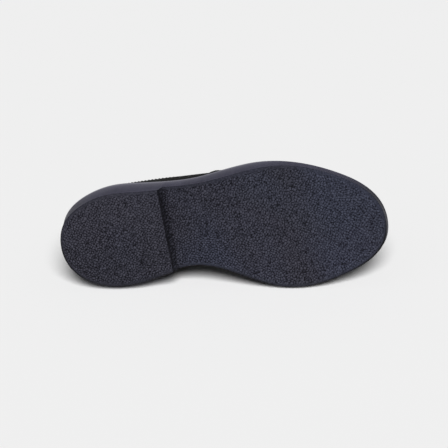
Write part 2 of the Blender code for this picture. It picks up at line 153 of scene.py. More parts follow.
# Ridge of the last. Columns: x, y, z, fullness of the sides, fullness of the top.
RIDGE = [
    (20.0, 3.0, 106.0, 1.8, 2.0),
    (45.0, 2.5, 106.0, 1.8, 2.0),
    (70.0, 2.0, 103.5, 1.95, 2.05),
    (90.0, 2.0, 98.0, 2.1, 2.1),
    (110.0, 2.0, 91.0, 2.1, 2.1),
    (125.0, 2.0, 85.3, 2.0, 2.1),
    (140.0, 2.0, 79.0, 1.95, 2.05),
    (155.0, 2.2, 73.0, 1.95, 2.0),
    (170.0, 2.0, 67.0, 2.0, 2.0),
    (185.0, 1.2, 61.8, 2.0, 2.1),
    (200.0, 0.0, 57.2, 2.05, 2.25),
    (212.0, -1.2, 53.6, 2.1, 2.4),
    (224.0, -2.2, 49.8, 2.1, 2.5),
]

# Collar of the quarters, then the apron seam. Columns: x, height inside, height outside.
TOPLINE = [
    (-5.0, 79.0, 79.0),
    (15.0, 78.4, 78.0),
    (35.0, 75.8, 75.0),
    (55.0, 72.6, 71.4),
    (75.0, 70.6, 69.2),
    (95.0, 70.4, 69.0),
    (115.0, 71.4, 70.4),
    (130.0, 72.4, 71.6),
    (142.0, 72.2, 71.4),
    (155.0, 68.6, 67.8),
    (175.0, 60.6, 59.6),
    (195.0, 53.0, 52.4),
    (215.0, 47.4, 47.2),
    (235.0, 44.6, 44.6),
    (250.0, 43.6, 43.6),
    (262.0, 43.4, 43.4),
    (275.0, 43.4, 43.4),
]

# Saddle strap. Columns: share of the way up the side, x of the back edge, x of the front edge.
SADDLE = [
    (0.0, 124.0, 178.0),
    (0.35, 129.5, 173.0),
    (0.7, 135.0, 168.0),
    (1.0, 137.0, 166.5),
]

# Tongue. Columns: share from its free end, x, drop under the upper's face, half width.
TONGUE = [
    (0.0, 113.5, 5.0, 17.0),
    (0.3, 121.0, 4.2, 18.5),
    (0.55, 131.0, 2.9, 18.5),
    (0.75, 140.0, 2.5, 17.0),
    (1.0, 156.0, 2.5, 15.0),
]

# ---- Looks only ----

PEBBLE = 2.1  # spacing of the tread's pebbles
PEBBLE_HEIGHT = 0.28
PEBBLE_LEAST = 0.75  # height of the lowest, the tallest being 1
PEBBLE_SCATTER = 0.82  # how far they stray from their rows, 1 being the whole spacing
PEBBLE_SLOPE = 0.46  # width of a pebble's sloping edge, in spacings
PEBBLE_BORDER = 0.2  # smooth border that they leave inside the rounded tread's edge
PEBBLE_FADE = 1.2  # width over which they rise beyond it
GRAIN_TURN = 31.0  # degrees that their rows are turned against the shoe
BREAST_BACK = 0.4  # smooth band behind the heel breast
BREAST_FRONT = (1.0, 1.2)  # the same before it, at its inner and its outer end
BREAST_FADE = 0.8  # length over which the pebbles fade out beside that band
# Painted shade over the heel breast. Columns: distance ahead of its edge, painted shade at the
# inner end, the same at the outer end.
BREAST_SHADE = [
    (-0.4, 0.0, 0.0),
    (-0.15, 0.48, 0.48),
    (0.5, 0.46, 0.48),
    (0.9, 0.14, 0.24),
    (1.7, 0.1, 0.2),
    (2.3, 0.4, 0.3),
    (2.8, 0.16, 0.24),
    (4.5, 0.0, 0.1),
    (7.5, 0.0, 0.0),
]
# Tint of the tread. Columns: how much bluer, share of it on the outer side, x where it rises
# and is full, x where it falls and is gone.
BLUE_AREAS = [
    (0.42, 1.0, (80, 130), (300, 301)),
    (1.0, 1.0, (186, 226), (300, 301)),
    (0.5, 0.0, (88, 100), (125, 165)),
    (-0.4, 0.0, (165, 195), (300, 301)),
]
# Side wall of the sole. Columns: share of the way up, painted highlight towards the lip, painted
# shade on the inner side.
WALL_ROWS = [
    (0.08, 0.0, 0.9),
    (0.2, 0.0, 0.6),
    (0.4, 0.05, 0.25),
    (0.6, 0.14, 0.0),
    (0.78, 0.26, 0.0),
    (0.86, 0.36, 0.0),
    (0.9, 0.7, 0.0),
    (0.94, 1.0, 0.0),
    (1.0, 1.0, 0.0),
]
TOE_PAINTED_SHADE = 0.65  # painted shade on the side wall round the toe
LIP_DEPTH = 0.3  # how far the side wall is set back below the rim's lip
LIP_SWELL = 0.75  # how much the lip stands out beside the waist on the outer side
SEAM_HEIGHT, SEAM_WIDTH = 1.7, 1.35  # the apron seam's ridge, and half its width
SEAM_VALLEY = 3.3  # distance of the valleys beside it
VALLEY_DEPTH, VALLEY_WIDTH = 0.35, 1.5
PUCKER = 0.5  # depth of the gathers below the seam around the toe
MOC_PITCH = 4.6  # spacing of the hand-sewn stitches over the apron seam
MOC_DRAW = 0.16  # share of its height that the ridge loses at each
MOC_THREAD = 0.5
STITCH_PITCH = 3.1
THREAD = 0.34  # half thickness of the sewing thread
SADDLE_GAP = 1.4 * GAP
SADDLE_SKIVED = 0.35  # share of its thickness that it keeps beside the sole
SADDLE_HEM = 2.4  # distance of the saddle's stitches from its edges
BACKSTAY_GAP = 1.2 * GAP
BACKSTAY_HEM = 1.9
BINDING_DEPTH = 4.6  # how far the collar's binding reaches down on both sides
BINDING_THICK = 0.6
BINDING_HEM = 1.3
TONGUE_LENGTH = 42.5

# Creases across the vamp where the foot bends. Columns: distance of the trough from the heel,
# depth, half width, lean towards the toe at the sides.
VAMP_CREASES = [
    (178.5, 0.55, 3.4, 3.0),
    (187.0, 0.75, 4.2, 5.0),
    (196.5, 0.45, 3.8, 7.0),
]

# ---- Camera and lights ----

# The camera's directions in the shoe's frame, and the point that it looks at.
CAMERA_BACK = (0.2008, -0.2588, -0.9448)
CAMERA_RIGHT = (0.9781, 0.0, 0.2079)
CAMERA_ROLL = -0.09145
CAMERA_TARGET = (136.75, -8.28, 0.0)
CAMERA_DISTANCE = 1479.7
CAMERA_LENS = 150.0

WORLD_LIGHT = 0.09
# Columns: name, strength, width in degrees, turn in degrees, whether it lights the shoe alone.
LIGHTS = [
    ("key", 4.63, 26.0, (50.0, 0.0, 17.0), False),
    ("fill", 1.7, 60.0, (-58.0, 0.0, 0.0), True),
]

# ---- Mesh density ----

SOLE_LINES = 470  # lines from heel to toe on each side of the sole
TREAD_ROWS = 76
WALL_START = TREAD_ROWS + 3  # where the wall's rubber begins, on the tread's rounded edge
SHOE_LINES = 190  # lines from heel to toe on each side of the upper
SIDE_ROWS = 44
APRON_ROWS = 26

# ---- Curves ----


def spline_slopes(x, y, closed):
    """Slopes of the smooth cubic through the points, natural at its ends or closed."""
    n = len(x)
    step = np.diff(x)
    rise = np.diff(y, axis=0) / step[:, None]
    a = np.zeros((n, n))
    b = np.zeros((n, y.shape[1]))
    for i in range(0 if closed else 1, n - 1):
        before = i - 1 if i else -2  # the last point of a closed curve repeats the first
        a[i, [before, i, i + 1]] = step[i], 2 * (step[i - 1] + step[i]), step[i - 1]
        b[i] = 3 * (step[i] * rise[i - 1] + step[i - 1] * rise[i])
    if closed:
        a[-1, -1], a[-1, 0] = 1, -1
    else:
        a[0, :2], b[0] = (2, 1), 3 * rise[0]
        a[-1, -2:], b[-1] = (1, 2), 3 * rise[-1]
    return np.linalg.solve(a, b)


def spline(table, at, closed=False):
    """The table's columns after the first, as smooth functions of the first."""
    table = np.asarray(table, float)
    x, y = table[:, 0], table[:, 1:]
    slope = spline_slopes(x, y, closed)
    at = np.asarray(at, float)
    i = np.clip(np.searchsorted(x, at, side="right") - 1, 0, len(x) - 2)
    h = (x[i + 1] - x[i])[..., None]
    u = (at - x[i])[..., None] / h
    return (
        (1 + 2 * u) * (1 - u) ** 2 * y[i]
        + u * (1 - u) ** 2 * h * slope[i]
        + u**2 * (3 - 2 * u) * y[i + 1]
        + u**2 * (u - 1) * h * slope[i + 1]
    )


def columns(table, at):
    """The same as spline(), with one array for each column."""
    return np.moveaxis(spline(table, at), -1, 0)


def smooth_step(x, low, high):
    """0 below low, 1 above high, and a smooth rise between them."""
    u = np.clip((x - low) / (high - low), 0, 1)
    return u * u * (3 - 2 * u)


def between(x, rise, fall):
    """1 between two places, with a smooth rise at the first and a smooth fall at the second."""
    return smooth_step(x, *rise) * (1 - smooth_step(x, *fall))


def blend(share, inner, outer):
    """The inner side's value where the share is 1, the outer side's where it is 0."""
    return inner * share + outer * (1 - share)


def unit(v):
    return v / np.linalg.norm(v, axis=-1, keepdims=True)


def run_along(points):
    """Distance of each point from the first, along the line through them."""
    return np.concatenate([[0], np.cumsum(np.linalg.norm(np.diff(points, axis=0), axis=1))])


def tread_curve():
    """Points along the tread's edge."""
    points = np.array(TREAD_EDGE + TREAD_EDGE[:1])
    chord = run_along(points)
    at = np.linspace(0, chord[-1], 2400, endpoint=False)
    return spline(np.column_stack([chord, points]), at, closed=True)


def outward(curve):
    """Direction square to a closed curve, away from what it holds."""
    along = np.roll(curve, -1, axis=0) - np.roll(curve, 1, axis=0)
    return unit(np.column_stack([-along[:, 1], along[:, 0]]))


def slanted(xy):
    """Distance from the heel, measured square to the heel breast."""
    return xy[..., 0] - BREAST_SLANT * xy[..., 1]


class Outline:
    """A closed outline, read by a loop value: 0 to 1 up the inner side, 1 to 2 down the outer."""

    def __init__(self, curve):
        q = slanted(curve)
        heel, toe = int(q.argmin()), int(q.argmax())
        self.heel_q, self.toe_q = q[heel], q[toe]
        steps = np.arange(len(curve) + 1)
        order = (heel + steps) % len(curve)
        share = self.share_of(q[order])
        self.loop = np.where(steps <= (toe - heel) % len(curve), share, 2 - share)
        self.xy, self.normal = curve[order], outward(curve)[order]

    def share_of(self, q):
        """Loop value on the inner side of a distance from the heel."""
        span = (q - self.heel_q) / (self.toe_q - self.heel_q)
        return np.arccos(np.clip(1 - 2 * span, -1, 1)) / math.pi

    def loop_of(self, q, on_outer):
        """Loop value of a distance from the heel, on the side that is asked for."""
        share = self.share_of(q)
        return np.where(on_outer, 2 - share, share)

    def read(self, values, loop):
        loop = np.asarray(loop) % 2
        return np.stack([np.interp(loop, self.loop, c) for c in values.T], axis=-1)

    def at(self, loop):
        return self.read(self.xy, loop)

    def normal_at(self, loop):
        return unit(self.read(self.normal, loop))


def inner_share(loop):
    """1 on the inner side, 0 on the outer, blended over the heel's and toe's middle."""
    return 0.5 + 0.5 * np.clip(np.sin(np.pi * np.asarray(loop)) * 3, -1, 1)


def spine_q(q):
    """Where along the middle a section from the outline ends: sections fan at heel and toe."""
    heel_fan, toe_fan = 60.0, 90.0
    q = np.asarray(q, float)
    near_heel = heel_fan / 2 + q**2 / (2 * heel_fan)
    back = LENGTH - q
    near_toe = LENGTH - (toe_fan / 2 + back**2 / (2 * toe_fan))
    return np.where(q < heel_fan, near_heel, np.where(back < toe_fan, near_toe, q))


# ---- The sole's and the upper's surfaces ----


def sole_top(x):
    return spline(SOLE_PROFILE, x)[..., 1]


def ground_side(xy):
    """Height of the tread: flat heel, breast, arch, flat forefoot and toe spring."""
    q = slanted(xy)
    spring = np.maximum(spline(SOLE_PROFILE, xy[..., 0])[..., 0], 0)
    arch = np.maximum(spline(ARCH, np.clip(q, 60, 170))[..., 0], 0)
    return spring + arch * smooth_step(q, HEEL_BREAST, HEEL_BREAST + BREAST_RUN)


def feather_curve():
    """The upper's bottom edge, inside the sole's rim."""
    curve = tread_curve()
    rim = Outline(curve + outward(curve) * spline(SOLE_PROFILE, curve[:, 0])[:, 2:3])
    inside = inner_share(rim.loop)
    inset = blend(inside, *columns(FEATHER, rim.xy[:, 0])[:2])
    return (rim.xy - rim.normal * inset[:, None])[:-1]


TREAD = Outline(tread_curve())
FOOT = Outline(feather_curve())


def section(loop):
    """Facts of the upper's sections: foot point, outward direction, ridge point, the two
    exponents, the swell, and the distance along the ridge."""
    xy = FOOT.at(loop)
    inside = inner_share(loop)
    foot = np.concatenate([xy, sole_top(xy[..., 0])[..., None] + GAP], axis=-1)
    q = spine_q(slanted(xy))
    y, z, side, top = columns(RIDGE, q)
    crest = np.stack([q + BREAST_SLANT * y, y, z], axis=-1)
    swell = blend(inside, *columns(FEATHER, xy[..., 0])[2:])
    return foot, FOOT.normal_at(loop), crest, side, top, swell, q


def topline_angle(loop):
    """Angle of the section at which it reaches the collar, or on the vamp the apron seam."""
    foot, _, crest, _, top, _, _ = section(loop)
    z = blend(inner_share(loop), *columns(TOPLINE, slanted(foot[..., :2])))
    share = np.clip((z - foot[..., 2]) / (crest[..., 2] - foot[..., 2]), 0.05, 0.98)
    return np.arcsin(share ** (top / 2))


def on_last(loop, angle):
    """The upper's outer face: angle 0 at the feather edge, a right angle on the ridge."""
    foot, normal, crest, side, top, swell, q = section(loop)
    inward = 1 - np.abs(np.cos(angle)) ** (2 / side)
    upward = np.abs(np.sin(angle)) ** (2 / top)
    point = foot + (crest - foot) * np.stack([inward, inward, upward], axis=-1)
    bulge = swell * 27 / 4 * upward * (1 - upward) ** 2  # the swell's full size at a third
    point[..., :2] += normal * bulge[..., None]
    fall = (spline(RIDGE, q + 1) - spline(RIDGE, q - 1))[..., 1] / 2
    point[..., 2] += fall * (point[..., 0] - crest[..., 0]) * upward**2
    return point


def face_direction(loop, angle):
    """Outward direction of the last's surface."""
    angle = np.clip(angle, 0.02, math.pi / 2 - 0.02)
    along = on_last(loop + 0.002, angle) - on_last(loop - 0.002, angle)
    up = on_last(loop, angle + 0.01) - on_last(loop, angle - 0.01)
    return unit(np.cross(up, along))


def leather(loop, angle, offset):
    """Points at a distance from the upper's outer face. Both sides of the ridge meet smoothly."""
    direction = face_direction(loop, angle)
    mirror = face_direction(2 - loop, angle)
    on_ridge = smooth_step(angle, math.pi / 2 - 0.06, math.pi / 2 - 0.01)[..., None]
    direction = unit(direction * (1 - on_ridge / 2) + mirror * on_ridge / 2)
    return on_last(loop, angle) + direction * np.asarray(offset)[..., None]


def on_sole(start, end, step, up=0.0):
    """Points a share of the way from one line to another, at a height over the sole's top."""
    xy = start + (end - start) * step
    return np.column_stack([xy, sole_top(xy[:, 0]) + up])


def middle_line(q):
    """Points on the middle line for sections that start at these distances from the heel."""
    q = spine_q(q)
    y = spline(RIDGE, q)[..., 0]
    return np.stack([q + BREAST_SLANT * y, y], axis=-1)


# ---- Meshes ----


def even_shares(outline, count, exact=()):
    """Shares of one side, spaced evenly along the outline, with the exact distances among them."""
    fine = np.linspace(0, 1, 6001)
    run = run_along(outline.at(fine)) + run_along(outline.at(2 - fine))
    share = np.interp(np.linspace(0, run[-1], count + 1), run, fine)
    share[-1] = 1
    wanted = outline.share_of(np.asarray(exact))
    for value in wanted:
        share = share[np.abs(share - value) > 0.4 / count]
    return np.sort(np.concatenate([share, wanted]))


def whole_loop(share):
    """Loop values of the closed outline from the shares of one side."""
    return np.concatenate([share, 2 - share[-2:0:-1]])


def fold(k, count):
    """Number of the middle line's point that line k of a closed outline ends on."""
    k = k % count
    return np.minimum(k, count - k)


def lie(points):
    """Points of the shoe's frame in millimetres, laid on the shoe's side, in metres."""
    return np.asarray(points) @ np.array(LIE).T * MM


def new_object(name, data):
    made = bpy.data.objects.new(name, data)
    bpy.context.scene.collection.objects.link(made)
    return made


def add_piece(name, points, faces, materials, slot, replaces=(), kinds=None, values=None):
    """One piece of the shoe from points in its frame, riding on the shoe's one body."""
    mesh = bpy.data.meshes.new(name)
    mesh.from_pydata(lie(points) + REST, [], [tuple(map(int, face)) for face in faces])
    for skin in materials:
        mesh.materials.append(skin)
    if kinds is not None:
        mesh.polygons.foreach_set("material_index", np.asarray(kinds, np.int32))
    for key, numbers in (values or {}).items():
        layer = mesh.attributes.new(key, "FLOAT", "POINT")
        layer.data.foreach_set("value", np.asarray(numbers, np.float32))
    mesh.validate()
    mesh.shade_smooth()
    made = new_object(name, mesh)
    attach(made, "root")
    if replaces:
        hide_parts(*replaces)


def loft(first_spine, rings, last_spine):
    """Faces through rings around an outline, closed on a line along the middle at each end. Gives
    the points, the faces and the number of each face's band."""
    count = len(rings[0])
    k = np.arange(count)
    pair = np.stack([k, (k + 1) % count])
    *starts, end = len(first_spine) + count * np.arange(len(rings) + 1)
    lines = [fold(pair, count), *(start + pair for start in starts), end + fold(pair, count)]
    bands = [np.stack([low[1], low[0], *high], 1) for low, high in zip(lines, lines[1:])]
    points = np.concatenate([first_spine, *rings, last_spine])
    return points, trimmed(np.concatenate(bands)), np.repeat(np.arange(len(bands)), count)


def trimmed(faces):
    """Quads, with a repeated corner left out where a quad has closed to a triangle."""
    same = (faces == np.roll(faces, 1, axis=1)).any(axis=1)
    plain = faces.tolist()
    for i in np.flatnonzero(same):
        plain[i] = list(dict.fromkeys(plain[i]))
    return plain


# ---- Tread ----


def pebbles(xy, seed):
    """Height from 0 to 1 of random rounded grains, and a random number for each grain."""
    rng = np.random.default_rng(seed)
    size = 256
    corner = (rng.random((size, size, 2)) - 0.5) * PEBBLE_SCATTER + 0.5
    tint = rng.random((size, size))
    turn = math.radians(GRAIN_TURN)
    turned = [[math.cos(turn), -math.sin(turn)], [math.sin(turn), math.cos(turn)]]
    at = xy @ turned / PEBBLE
    cell = np.floor(at).astype(int)
    nearest, second = np.full((2, len(xy)), 9.0)
    own = np.zeros(len(xy))
    for step in np.ndindex(3, 3):
        to = np.array(step) - 1
        i, j = ((cell + to) % size).T
        gap = np.linalg.norm(at - cell - to - corner[i, j], axis=1)
        closer = gap < nearest
        second = np.where(closer, nearest, np.minimum(second, gap))
        own = np.where(closer, tint[i, j], own)
        nearest = np.where(closer, gap, nearest)
    return smooth_step(second - nearest, 0, PEBBLE_SLOPE), own


def drift(xy, size, seed):
    """Smooth random number around 0, about -1 to 1, that changes over a distance."""
    rng = np.random.default_rng(seed)
    total = np.zeros(len(xy))
    for _ in range(7):
        angle, phase = rng.uniform(0, 2 * math.pi, 2)
        scale = 2 * math.pi / (size * rng.uniform(0.8, 1.9))
        total += np.sin(xy @ [math.cos(angle), math.sin(angle)] * scale + phase)
    return total / 3.5


def sole_rings(share, tread_rows):
    """Loop values of the sole's lines, and its rings from the tread's middle to its upper side."""
    loop = whole_loop(share)
    edge, normal = TREAD.at(loop), TREAD.normal_at(loop)
    spine = middle_line(slanted(edge))
    inset = edge - normal * TREAD_ROUND
    waist = between(edge[:, 0], (26, 64), (122, 158)) * (1 - inner_share(loop))
    flare = spline(SOLE_PROFILE, edge[:, 0])[:, 2] + LIP_SWELL * waist
    low = ground_side(edge)
    top = sole_top(edge[:, 0] + normal[:, 0] * flare)
    rings = []

    def add_ring(out, height):
        rings.append(np.column_stack([edge + normal * np.reshape(out, (-1, 1)), height]))

    for step in np.linspace(0, 1, tread_rows + 1)[1:]:
        xy = spine + (inset - spine) * step
        rings.append(np.column_stack([xy, ground_side(xy)]))
    for turn in np.radians([18, 36, 54, 72, 90]):
        out, up = np.array([math.sin(turn) - 1, 1 - math.cos(turn)]) * TREAD_ROUND
        add_ring(out, low + up)
    for up, *_ in WALL_ROWS:
        back = LIP_DEPTH * (smooth_step(up, 0, 0.3) - smooth_step(up, 0.84, 0.92))
        height = (low + TREAD_ROUND) * (1 - up) + (top - RIM_BEVEL) * up
        add_ring(flare * up - back, height)
    for turn in np.radians([30, 60, 90]):
        out, up = (math.cos(turn) - 1) * RIM_BEVEL, (math.sin(turn) - 1) * RIM_BEVEL
        add_ring(flare + out, top + up)
    rim = rings[-1][:, :2]
    return loop, rings + [on_sole(rim, spine, step) for step in (0.1, 0.25, 0.6)]


def sole_streaks_and_painted_light(loop, around):
    """Painted highlight on the side wall towards its lip, painted shade on the tread's rounded
    edge inside and on the wall round the toe, and the wall's upright streaks, for all points of
    the sole."""
    # Rings: the tread's, 5 round its edge, the wall's rows, 3 round the lip and 3 on top.
    _, wall_highlight, wall_shade = np.transpose(WALL_ROWS)
    pale = [*[0] * (TREAD_ROWS + 5), *wall_highlight, 1, 0.7, 0.2, 0.1, 0.1, 0.1]
    low = [*[0] * (TREAD_ROWS - 1), 0.35, 0.8, 1, 1, 1, 1, *wall_shade, *[0] * 6]
    wall = [*[0] * WALL_START, *[1] * (len(pale) - WALL_START - 3), *[0] * 3]
    x = TREAD.at(loop)[:, 0]
    ahead, inward = TREAD.normal_at(loop).T
    # Painted shade: on the inner side, which faces the floor, towards the heel's and the toe's
    # ends, and on the wall round the toe.
    inner = smooth_step(inward, -0.35, 0.3) * smooth_step(abs(ahead), 0.1, 0.55)
    toe = TOE_PAINTED_SHADE * smooth_step(ahead, 0.3, 0.85) * (1 - inner)
    # Painted highlight along the wall: half at the heel's back, full further on, down to a tenth
    # towards the toe.
    highlight_reach = (0.5 + 0.5 * smooth_step(x, 5, 28)) * (1 - 0.9 * smooth_step(x, 148, 194))
    streak = np.random.default_rng(17).standard_normal(len(loop))
    streak = (streak + np.roll(streak, 1) + 0.5 * np.roll(streak, 2)) / 1.5
    painted_light_and_streaks = {
        "pale": np.outer(pale, highlight_reach),
        "painted_shade": np.outer(low, inner) + np.outer(wall, toe),
        "streak": np.outer(np.ones(len(pale)), streak),
    }
    return {key: np.pad(value.ravel(), around) for key, value in painted_light_and_streaks.items()}


def resting_place():
    """Where the shoe's frame lies in the shared one: there the sole fills its solid's box."""
    points = lie(np.concatenate(sole_rings(even_shares(TREAD, 150, BREAST_LINES), 3)[1]))
    low, high = (np.array(corner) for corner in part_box("outsole"))
    return (low + high) / 2 - (points.min(axis=0) + points.max(axis=0)) / 2


BREAST_LINES = HEEL_BREAST + BREAST_RUN * np.linspace(-0.25, 1.25, 9)
REST = resting_place()


def build_sole(tread_skin, wall_skin):
    """Moulded rubber sole: pebbled tread with a smooth border, heel breast, wall and lip."""
    share = even_shares(TREAD, SOLE_LINES, BREAST_LINES)
    loop, rings = sole_rings(share, TREAD_ROWS)
    edge = TREAD.at(loop)
    spine = middle_line(slanted(TREAD.at(share)))
    first = np.column_stack([spine, ground_side(spine)])
    points, faces, band = loft(first, rings, on_sole(spine, spine, 0))

    width = np.linalg.norm(edge - middle_line(slanted(edge)), axis=1) - TREAD_ROUND
    away = 1 - np.arange(1, TREAD_ROWS + 1) / TREAD_ROWS
    to_edge = np.concatenate([np.full(len(first), 99.0), np.outer(away, width).ravel()])
    tread = np.zeros(len(points))
    tread[: len(to_edge)] = smooth_step(to_edge - PEBBLE_BORDER, 0, PEBBLE_FADE)
    x, inner = points[:, 0], smooth_step(points[:, 1], -30, 30)
    ahead = slanted(points) - HEEL_BREAST
    reach = blend(inner, *BREAST_FRONT)
    back = (-BREAST_BACK - BREAST_FADE, -BREAST_BACK + BREAST_FADE)
    tread *= 1 - between(ahead, back, (reach - BREAST_FADE, reach))

    height, tint = pebbles(points[:, :2], 11)
    height *= blend(tint, 1, PEBBLE_LEAST)
    points[:, 2] += PEBBLE_HEIGHT * (1 - height) * tread
    # Tone of the tread: painted shade in the crevices between the pebbles, lighter on their tops,
    # with less contrast towards the toe.
    grain = 0.5 + tread * (height - 0.5) * (1 - 0.3 * smooth_step(x, 180, 240))
    # Painted light on the heel's outer side, which faces up as the shoe lies, and painted shade on
    # its inner side, which faces the floor.
    grain += 0.12 * (0.4 - inner) * (1 - smooth_step(x, 60, 90))
    # Painted shade over the heel breast's face and the band before it.
    at, *darkness = np.transpose(BREAST_SHADE)
    grain -= blend(inner, *(np.interp(ahead, at, column) for column in darkness))
    blue = 0.25 * drift(points[:, :2], 34.0, 13) - 0.38
    for amount, outer, rise, fall in BLUE_AREAS:
        blue += amount * blend(inner, 1, outer) * between(x, rise, fall)
    values = {"grain": grain, "pebbled": tread, "blue": blue}
    values |= sole_streaks_and_painted_light(loop, len(first))
    kinds = band > WALL_START
    add_piece("sole", points, faces, [tread_skin, wall_skin], "rubber", ["outsole"], kinds, values)


# ---- Upper ----


def rougher_and_shaded(points):
    """Duller leather with painted shade: low on the outer quarter, along the waist of the sole."""
    x, y, z = points.T
    near = smooth_step(-y, 4, 22) * (1 - smooth_step(z, 52, 74))
    return {"dull_and_painted_shade": near * between(x, (22, 48), (138, 172))}


def add_wall(solid, skins, outer, inner, faces):
    """A leather wall between two faces of the same layout, with the second skin inside."""
    points, count = np.concatenate([outer, inner]), len(outer)
    sides = {(face[i - 1], face[i]) for face in faces for i in range(len(face))}
    rim = [(b, a, a + count, b + count) for a, b in sorted(sides) if (b, a) not in sides]
    back = [[i + count for i in reversed(face)] for face in faces]
    kinds = [0] * len(faces) + [1] * len(back) + [0] * len(rim)
    # Dullness and painted shade of the leather, as an attribute.
    name, faces, matt_and_shaded = f"{solid}_leather", [*faces, *back, *rim], rougher_and_shaded(points)
    add_piece(name, points, faces, skins, "black_leather", [solid], kinds, matt_and_shaded)


def add_layer(solid, skins, loops, angles, heights, flip=True):
    """A leather layer over the upper, from a grid of places and the heights of its two faces."""
    high, low = (leather(loops, angles, height).reshape(-1, 3) for height in heights)
    k = np.arange(loops.size).reshape(loops.shape)
    faces = np.stack([k[:-1, :-1], k[:-1, 1:], k[1:, 1:], k[1:, :-1]], -1).reshape(-1, 4)
    add_wall(solid, skins, high, low, (faces[:, ::-1] if flip else faces).tolist())


def per_radian(loop, angle):
    """Millimetres along the leather for a radian of the section's angle."""
    step = on_last(loop, angle + 0.005) - on_last(loop, angle - 0.005)
    return np.linalg.norm(step, axis=-1) / 0.01


def seam_run(loop):
    """Distance along the apron seam from its middle at the toe."""
    fine = np.linspace(0, 2, 1601)
    run = run_along(on_last(fine, topline_angle(fine)))
    return np.interp(np.asarray(loop) % 2, fine, run - np.interp(1.0, fine, run))


def seam_relief(loop, q, beside):
    """Height of the hand-sewn seam, positive beside meaning above it: a rolled ridge between two
    soft valleys, drawn in at each stitch, with puckers below it around the toe."""
    rise = smooth_step(q, SEAM_START + 1, SEAM_START + 9)
    at_stitch = 0.5 + 0.5 * np.cos(2 * math.pi * seam_run(loop) / MOC_PITCH)
    away = np.abs(beside)
    ridge = np.exp(-((away / SEAM_WIDTH) ** 2.6)) * SEAM_HEIGHT * (1 - MOC_DRAW * at_stitch)
    valley = np.exp(-(((away - SEAM_VALLEY) / VALLEY_WIDTH) ** 2)) * VALLEY_DEPTH
    below = between(-beside, (1.6, 3.4), (5.0, 13.0)) * smooth_step(q, 188, 226)
    return rise * (ridge - valley - PUCKER * below * (at_stitch - 0.5))


def creases(loop, angle, q):
    """Soft troughs where the foot bends, each with a low ridge on either side."""
    up = np.sin(angle)
    lift = np.zeros_like(angle)
    for at, depth, width, lean in VAMP_CREASES:
        wander = 1.6 * np.sin(loop * 23 + at) * (1 - up) + 0.9 * np.sin(loop * 61 + at)
        away = (q - at - lean * (1 - up) - wander) / width
        trough = np.exp(-(away**2)) - 0.42 * np.exp(-((np.abs(away) - 1.9) ** 2))
        lift -= depth * trough * smooth_step(up, 0.35, 0.85)
    return lift


def slackness(loop, angle, q):
    """Low unevenness of the soft quarters, none at the sole."""
    up = np.sin(angle)
    wave = np.sin(q / 9.0 + 4 * up + 2.2 * loop) + 0.7 * np.sin(q / 5.3 - 6 * up + 1.0)
    return 0.16 * wave * smooth_step(up, 0.15, 0.6) * (1 - smooth_step(q, 150, 175))


def row_angles(loop):
    """Angles of the upper's rows, close together at the seam."""
    line = topline_angle(loop)[:, None]
    rate = per_radian(loop, line[:, 0])[:, None]
    near = np.array([5.5, 4.6, 3.8, 3.1, 2.5, 2.0, 1.5, 1.0, 0.5])
    tight = np.minimum(1, 0.45 * (math.pi / 2 - line) * rate / near[0])
    below, above = line - near / rate, line + near[::-1] / rate * tight
    far_below = below[:, :1] * np.linspace(0, 1, SIDE_ROWS - len(near) + 1)[:-1]
    share = np.linspace(0, 1, APRON_ROWS - len(near) + 1)[1:]
    far_above = above[:, -1:] + (math.pi / 2 - above[:, -1:]) * share
    return np.concatenate([far_below, below, line, above, far_above], axis=1)


def build_upper(skins):
    """Vamp, apron and quarters: a thin wall of leather and lining."""
    share = even_shares(FOOT, SHOE_LINES, [THROAT])
    loop = whole_loop(share)
    angle = row_angles(loop)
    count, rows = angle.shape
    around, q = loop[:, None], section(loop)[-1][:, None]
    line = topline_angle(around)
    beside = (angle - line) * per_radian(around, line)
    soft = creases(around, angle, q) + slackness(around, angle, q)
    soft *= smooth_step(q, 20, 40)
    outer = leather(around, angle, soft + seam_relief(around, q, beside))
    inner = leather(around, angle, 0.6 * soft - WALL)

    k = np.arange(count)
    corner = k[:, None] * rows + np.arange(rows)
    corner[:, -1] = fold(k, count) * rows + rows - 1
    after = np.roll(corner, -1, axis=0)
    faces = np.stack([after[:, :-1], corner[:, :-1], corner[:, 1:], after[:, 1:]], -1)
    throat = int(np.abs(share - FOOT.share_of(THROAT)).argmin())
    on_vamp = np.minimum(fold(k, count), fold(k + 1, count)) >= throat
    kept = on_vamp | (np.arange(rows - 1) < SIDE_ROWS)[:, None]
    used, faces = np.unique(faces.swapaxes(0, 1)[kept], return_inverse=True)
    outer, inner = (points.reshape(-1, 3)[used] for points in (outer, inner))
    add_wall("upper", skins, outer, inner, trimmed(faces.reshape(-1, 4)))


def rounded(to_edge, thickness):
    """Height of a leather layer's face at a distance from its softly rounded edge."""
    share = np.clip(np.asarray(to_edge) / (0.9 * thickness), 0, 1)
    return thickness * (0.3 + 0.7 * np.sqrt(1 - (1 - share) ** 2))


def closed_in(count, width):
    """Places from 0 to 1 across a width, drawn close together within 1.4 of both edges."""
    ends = 1.4 * np.array([0, 0.08, 0.22, 0.45, 0.72, 1]) / width
    middle = np.linspace(ends[-1], 1 - ends[-1], count - 2 * len(ends) + 2)
    return np.concatenate([ends[:-1], middle, 1 - ends[:-1][::-1]])


def saddle_thickness(angle):
    """The saddle is skived thin towards the sole."""
    return SADDLE_THICK * blend(smooth_step(angle, 0.2, 0.75), 1, SADDLE_SKIVED)


def over_instep(rise):
    """Shares of the way up the inner side and down the outer, and which are outside."""
    share = np.concatenate([rise, rise[-2::-1]])
    return share, np.arange(len(share)) >= len(rise)


